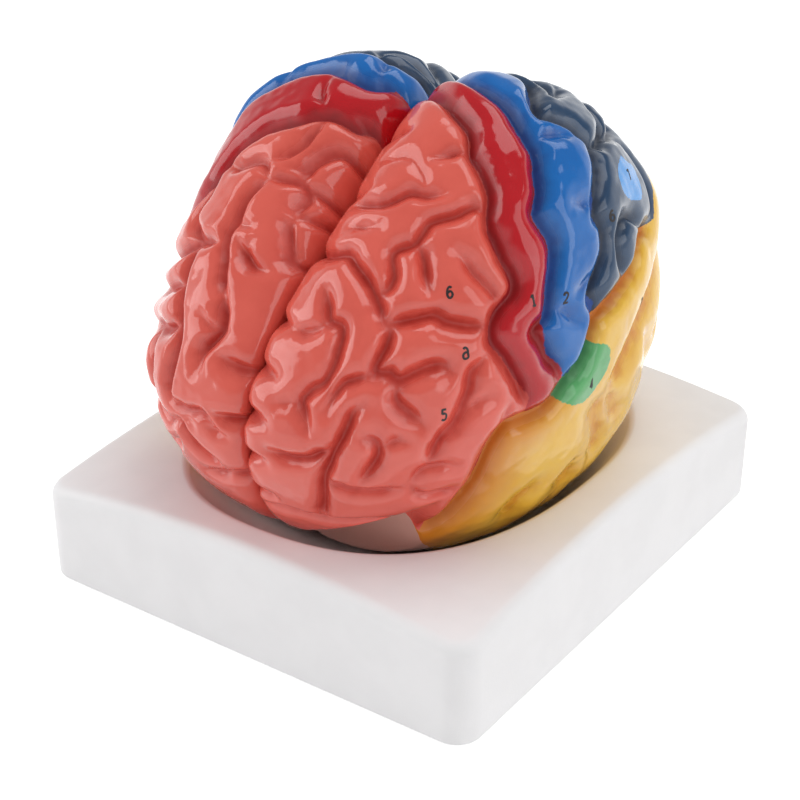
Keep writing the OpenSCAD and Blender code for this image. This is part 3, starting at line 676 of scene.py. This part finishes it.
def stand_shell(name):
    """The moulded stand as a closed mesh that stands for its CAD node."""
    places, facing = stand_spots()
    mouth = np.array([BRAIN_W, BRAIN_L]) / 2 * bowl_share(0) + WALL_GAP

    def edge(inset):
        return places + (CORNER_R - inset) * facing

    def recess(deep, out):
        p = edge(0) / mouth
        t = np.arctan2(p[:, 1], p[:, 0])
        half = np.array([BRAIN_W, BRAIN_L]) / 2 * bowl_share(deep) + WALL_GAP + out
        k = (np.abs(np.cos(t)) ** OVAL + np.abs(np.sin(t)) ** OVAL) ** (-1 / OVAL)
        return half * np.stack([k * np.cos(t), k * np.sin(t)], 1)

    def top(p):
        across, along = 2 * p[:, 0] / STAND_W, 2 * p[:, 1] / STAND_L
        return STAND_H + STAND_ARCH * (1 - across ** 2 * along ** 2)

    def wall(p, deep):
        return SEAT_Z + (top(p) - SEAT_Z) * (1 - deep / RECESS_DEPTH)

    def ring(p, z):
        return np.column_stack([p, np.broadcast_to(z, len(p))])

    rings = [ring(edge(SHELL_T), 0)]
    for a in np.radians(np.arange(0, 91, 15)):
        rings.append(ring(edge(FOOT_R * (1 - np.sin(a))), FOOT_R * (1 - np.cos(a))))
    for share in (0.1, 0.5, 0.9):
        p = edge(0)
        rings.append(ring(p, FOOT_R + (top(p) - EDGE_R - FOOT_R) * share))
    for a in np.radians(np.arange(0, 91, 10)):
        p = edge(EDGE_R * (1 - np.cos(a)))
        rings.append(ring(p, top(p) - EDGE_R * (1 - np.sin(a))))
    for share in np.arange(1, TOP_STEPS) / TOP_STEPS:
        p = edge(EDGE_R) * (1 - share) + recess(0, LIP_R) * share
        rings.append(ring(p, top(p)))
    for a in np.radians(np.arange(0, 91, 15)):
        deep = LIP_R * (1 - np.cos(a))
        p = recess(deep, LIP_R * (1 - np.sin(a)))
        rings.append(ring(p, wall(p, deep)))
    for share in np.linspace(0.12, 1, BOWL_STEPS):
        p = recess(RECESS_DEPTH * share, 0)
        rings.append(ring(p, wall(p, RECESS_DEPTH * share)))
    floor_ring = len(rings) - 1
    for share in (1, 0.85, 0.5):
        p = recess(RECESS_DEPTH * share, SHELL_T if share < 1 else 0)
        rings.append(ring(p, wall(p, RECESS_DEPTH * share) - SHELL_T * share))
    p = recess(0, LIP_R + SHELL_T)
    rings.append(ring(p, top(p) - SHELL_T))
    p = edge(SHELL_T + 1)
    rings.append(ring(p, top(p) - SHELL_T))
    p = edge(SHELL_T)
    rings.append(ring(p, top(p) - SHELL_T - 1))
    count = len(places)
    faces = []
    for r in range(len(rings)):
        if r == floor_ring:
            continue
        low, high = r * count, (r + 1) % len(rings) * count
        for i in range(count):
            k = (i + 1) % count
            faces.append([low + i, low + k, high + k, high + i])
    faces.append([floor_ring * count + i for i in range(count)])
    faces.append([(floor_ring + 1) * count + i for i in reversed(range(count))])
    piece = new_mesh(name, np.concatenate(rings) * MM, faces)
    shade_smooth(piece, len(faces))
    piece.data.set_sharp_from_angle(angle=math.radians(SHARP_ANGLE))
    return piece


def number_marks(name, half):
    """The printed region numbers as thin raised strokes that follow the surface of one half."""
    mesh = half.data
    tree = BVHTree.FromPolygons([v.co for v in mesh.vertices], [list(f.vertices) for f in mesh.polygons])
    points, faces = [], []
    for digit, where in NUMBERS:
        around = envelope(np.array(where, float) + np.array([[0, 0], [1, 0], [0, 1]]))
        base, ahead, above = (Vector((v[0], v[1], v[2] + AXIS_Z)) * MM for v in around)
        out = (above - base).cross(ahead - base).normalized()
        if out.x < 0:
            out = -out
        up = (Vector((0, 0, 1)) - out * out.z).normalized()
        right = up.cross(out)
        for stroke in DIGITS[digit]:
            line = smooth_line(stroke, 0.1) if len(stroke) > 4 else straight_line(stroke)
            line = (line - 0.5) * [NUMBER_W, NUMBER_H]
            ahead = np.gradient(line, axis=0)
            ahead /= np.linalg.norm(ahead, axis=1)[:, None]
            aside = np.stack([-ahead[:, 1], ahead[:, 0]], 1) * STROKE_W / 2
            first = len(points)
            for spot in np.stack([line + aside, line - aside], 1).reshape(-1, 2) * MM:
                start = base + right * spot[0] + up * spot[1] + out * RAY_START * MM
                hit = tree.ray_cast(start, -out)[0]
                points += [hit + out * INK_LIFT * MM, hit - out * INK_ROOT * MM]
            for k in range(first, len(points) - 4, 4):
                a, b, c, d = k, k + 2, k + 6, k + 4
                faces += [[a, b, c, d], [a + 1, d + 1, c + 1, b + 1]]
                faces += [[a, d, d + 1, a + 1], [b, b + 1, c + 1, c]]
            faces += [[first, first + 1, first + 3, first + 2]]
            end = len(points) - 4
            faces += [[end, end + 2, end + 3, end + 1]]
    return new_mesh(name, points, faces)


# Materials

def srgb(r, g, b):
    """An sRGB colour from 0 to 255 as linear values."""
    shares = (r / 255, g / 255, b / 255)
    return tuple(v / 12.92 if v < 0.0405 else ((v + 0.055) / 1.055) ** 2.4 for v in shares) + (1,)


class Nodes:
    """A short way to build a node material."""

    def __init__(self, name):
        self.material = bpy.data.materials.new(name)
        self.material.use_nodes = True
        self.tree = self.material.node_tree
        self.tree.nodes.clear()
        self.shader = self.add("ShaderNodeBsdfPrincipled")
        out = self.add("ShaderNodeOutputMaterial")
        self.link(self.shader.outputs[0], out.inputs["Surface"])

    def add(self, kind, **settings):
        node = self.tree.nodes.new(kind)
        for key, value in settings.items():
            setattr(node, key, value)
        return node

    def link(self, source, target):
        self.tree.links.new(source, target)

    def put(self, target, value):
        if hasattr(value, "is_linked"):
            self.link(value, target)
        else:
            target.default_value = value

    def math(self, operation, a, b=0.0):
        node = self.add("ShaderNodeMath", operation=operation)
        self.put(node.inputs[0], a)
        self.put(node.inputs[1], b)
        return node.outputs[0]

    def ramp(self, value, low, high, to_low=0.0, to_high=1.0):
        node = self.add("ShaderNodeMapRange", interpolation_type="SMOOTHSTEP")
        values = {"Value": value, "From Min": low, "From Max": high, "To Min": to_low, "To Max": to_high}
        for name, v in values.items():
            self.put(node.inputs[name], v)
        return node.outputs[0]

    def mix(self, share, a, b):
        node = self.add("ShaderNodeMix", data_type="RGBA")
        self.put(node.inputs[0], share)
        self.put(node.inputs[6], a)
        self.put(node.inputs[7], b)
        return node.outputs[2]

    def noise(self, scale, detail=2.0):
        where = self.add("ShaderNodeTexCoord")
        node = self.add("ShaderNodeTexNoise")
        self.link(where.outputs["Object"], node.inputs["Vector"])
        self.put(node.inputs["Scale"], scale)
        self.put(node.inputs["Detail"], detail)
        return node.outputs[0]

    def attribute(self, name, part="Fac"):
        return self.add("ShaderNodeAttribute", attribute_name=name).outputs[part]

    def split(self, vector):
        node = self.add("ShaderNodeSeparateXYZ")
        self.link(vector, node.inputs[0])
        return node.outputs

    def bump(self, height, strength, distance):
        node = self.add("ShaderNodeBump")
        self.link(height, node.inputs["Height"])
        self.put(node.inputs["Strength"], strength)
        self.put(node.inputs["Distance"], distance)
        self.link(node.outputs[0], self.shader.inputs["Normal"])


# Paint as [open colour, colour down in the furrows]. The furrow colour is partly paint pooled there and
# partly painted shade.
PAINTS = {
    "coral": [srgb(226, 98, 84), srgb(186, 50, 38)],
    "yellow": [srgb(236, 188, 66), srgb(200, 114, 20)],
    "slate": [srgb(38, 68, 100), srgb(10, 28, 52)],
    "green": [srgb(90, 172, 104), srgb(56, 128, 66)],
    "blue": [srgb(12, 106, 186), srgb(4, 62, 140)],
    "red": [srgb(190, 12, 26), srgb(146, 2, 10)],
    "light": [srgb(20, 146, 226), srgb(8, 90, 170)],
    # The under colour is partly the bare casting and partly painted shade for the stand's shaded recess
    # wall.
    "under": [srgb(216, 174, 160), srgb(200, 152, 136)],
}
# The yellow turns orange along its front edge, over this many degrees: partly an orange glaze, partly
# painted shade where the yellow lies under the frontal lobe.
ORANGE = srgb(204, 112, 24)
ORANGE_SHARE = 0.85
ORANGE_WIDTH = 15
# The paint edges waver by this many degrees.
EDGE_WOBBLE = 0.12
# Roughness of the varnish on the folds and down in the furrows, and its clear coat
FOLD_ROUGHNESS = 0.1
VALLEY_ROUGHNESS = 0.6
COAT_WEIGHT = 0.2
COAT_ROUGHNESS = 0.04


def brain_paint():
    n = Nodes("painted_casting")
    front = n.split(n.attribute("paint_front", "Vector"))
    rear = n.split(n.attribute("paint_rear", "Vector"))
    wobble = n.ramp(n.noise(900), 0.3, 0.7, -EDGE_WOBBLE, EDGE_WOBBLE)
    gaps = dict(zip(("red", "blue", "slate"), front), under=n.attribute("paint_under"))
    gaps.update(zip(("yellow", "green", "light"), rear))
    open_tone, pooled_and_shaded_tone = PAINTS["coral"]
    for name in ("yellow", "slate", "green", "blue", "red", "light", "under"):
        share = n.ramp(n.math("ADD", gaps[name], wobble), -EDGE_WOBBLE, EDGE_WOBBLE)
        paint = PAINTS[name][0]
        # Orange glaze and painted shade along the yellow's front edge
        if name == "yellow":
            paint = n.mix(n.ramp(gaps[name], 0.0, ORANGE_WIDTH, ORANGE_SHARE, 0.0), paint, ORANGE)
        open_tone = n.mix(share, open_tone, paint)
        pooled_and_shaded_tone = n.mix(share, pooled_and_shaded_tone, PAINTS[name][1])
    # Painted shade with pooled paint: the colour turns to the darker furrow tone down in the furrows.
    deep = n.ramp(n.math("ADD", n.attribute("valley"), n.ramp(n.noise(260), 0.3, 0.7, -0.1, 0.1)), 0.1, 0.9)
    tone = n.mix(deep, open_tone, pooled_and_shaded_tone)
    worn = n.ramp(n.noise(90, 4), 0.35, 0.75, 0.0, 0.16)
    n.link(n.mix(worn, tone, pooled_and_shaded_tone), n.shader.inputs["Base Color"])
    dull = n.ramp(n.attribute("valley"), 0.25, 0.7, FOLD_ROUGHNESS, VALLEY_ROUGHNESS)
    n.link(n.math("ADD", dull, n.ramp(n.noise(340), 0.3, 0.7, 0.0, 0.05)), n.shader.inputs["Roughness"])
    n.shader.inputs["Coat Weight"].default_value = COAT_WEIGHT
    n.shader.inputs["Coat Roughness"].default_value = COAT_ROUGHNESS
    n.bump(n.noise(420, 2), 0.06, 0.0006)
    return n.material


def stand_plastic():
    n = Nodes("stand")
    tone = n.mix(n.ramp(n.noise(60, 3), 0.35, 0.65, 0.0, 1.0), srgb(243, 242, 243), srgb(240, 239, 240))
    n.link(tone, n.shader.inputs["Base Color"])
    n.link(n.ramp(n.noise(500), 0.3, 0.7, 0.42, 0.54), n.shader.inputs["Roughness"])
    n.bump(n.noise(1400, 2), 0.08, 0.0003)
    return n.material


def ink():
    n = Nodes("number_ink")
    tone = n.mix(n.ramp(n.noise(900), 0.35, 0.65), srgb(26, 20, 22), srgb(40, 32, 34))
    n.link(tone, n.shader.inputs["Base Color"])
    n.link(n.ramp(n.noise(500), 0.3, 0.7, 0.5, 0.6), n.shader.inputs["Roughness"])
    return n.material


def floor_material():
    """White to the camera and in mirror images, pale to the light, with the object's shadow."""
    n = Nodes("studio_floor")
    n.put(n.shader.inputs["Roughness"], 0.9)
    path = n.add("ShaderNodeLightPath").outputs
    seen = n.math("MAXIMUM", path["Is Camera Ray"], path["Is Glossy Ray"])
    seen = n.math("MAXIMUM", seen, path["Is Transmission Ray"])
    tone = n.mix(seen, (FLOOR_TONE,) * 3 + (1,), (FLOOR_SHADED,) * 3 + (1,))
    n.link(tone, n.shader.inputs["Base Color"])
    n.put(n.shader.inputs["Emission Color"], (1, 1, 1, 1))
    n.link(n.math("MULTIPLY", seen, FLOOR_GLOW), n.shader.inputs["Emission Strength"])
    return n.material


# Scene round the object

def studio():
    size = FLOOR_SIZE
    corners = [(-size, -size, 0), (size, -size, 0), (size, size, 0), (-size, size, 0)]
    floor = new_mesh("studio_floor", corners, [[0, 1, 2, 3]])
    floor.data.materials.append(floor_material())
    floor.location.z = -FLOOR_DROP
    world = bpy.data.worlds.new("studio")
    bpy.context.scene.world = world
    world.use_nodes = True
    tree = world.node_tree
    back = tree.nodes["Background"]
    back.inputs["Color"].default_value = (1, 1, 1, 1)
    where = tree.nodes.new("ShaderNodeTexCoord")
    apart = tree.nodes.new("ShaderNodeSeparateXYZ")
    fade = tree.nodes.new("ShaderNodeMapRange")
    tree.links.new(where.outputs["Generated"], apart.inputs[0])
    tree.links.new(apart.outputs[2], fade.inputs["Value"])
    fade.inputs["From Min"].default_value = HORIZON_TOP
    fade.inputs["From Max"].default_value = SKY_FROM
    fade.inputs["To Min"].default_value = HORIZON
    fade.inputs["To Max"].default_value = SKY
    tree.links.new(fade.outputs[0], back.inputs["Strength"])
    for lamp in SOFTBOXES:
        softbox(*lamp)


def softbox(name, place, size, power):
    lamp = bpy.data.lights.new(name, "AREA")
    lamp.shape = "SQUARE"
    lamp.size = size
    lamp.energy = power
    thing = bpy.data.objects.new(name, lamp)
    thing.location = place
    thing.rotation_euler = (Vector(LAMPS_AIM) - Vector(place)).to_track_quat("-Z", "Y").to_euler()
    bpy.context.scene.collection.objects.link(thing)


def camera():
    data = bpy.data.cameras.new("camera")
    data.sensor_width = CAMERA_SENSOR
    data.lens = CAMERA_LENS
    thing = bpy.data.objects.new("camera", data)
    a, e = math.radians(CAMERA_AZIMUTH), math.radians(CAMERA_ELEVATION)
    back = Vector((math.sin(a) * math.cos(e), -math.cos(a) * math.cos(e), math.sin(e)))
    thing.location = CAMERA_PLACE
    thing.rotation_euler = (-back).to_track_quat("-Z", "Y").to_euler()
    bpy.context.scene.collection.objects.link(thing)
    bpy.context.scene.camera = thing


camera()
paint = brain_paint()
for name, side, furrows, edges, swells in (
    ("left_half", 1, LEFT_FURROWS + LEFT_NOTCHES + REAR_FURROWS, LEFT_EDGES, LEFT_SWELLS),
    ("right_half", -1, RIGHT_FURROWS + RIGHT_NOTCHES + REAR_FURROWS, RIGHT_EDGES, RIGHT_SWELLS),
):
    half = hemisphere(name, side, furrows, edges, swells)
    half.data.materials.append(paint)
    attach(half, "root")
    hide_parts(name.replace("half", "hemisphere"))
    if side > 0:
        marks = number_marks("region_numbers", half)
        marks.data.materials.append(ink())
        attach(marks, "root")
shell = stand_shell("stand_shell")
shell.data.materials.append(stand_plastic())
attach(shell, "root")
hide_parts("stand")
studio()
bpy.context.scene.view_settings.view_transform = "Standard"
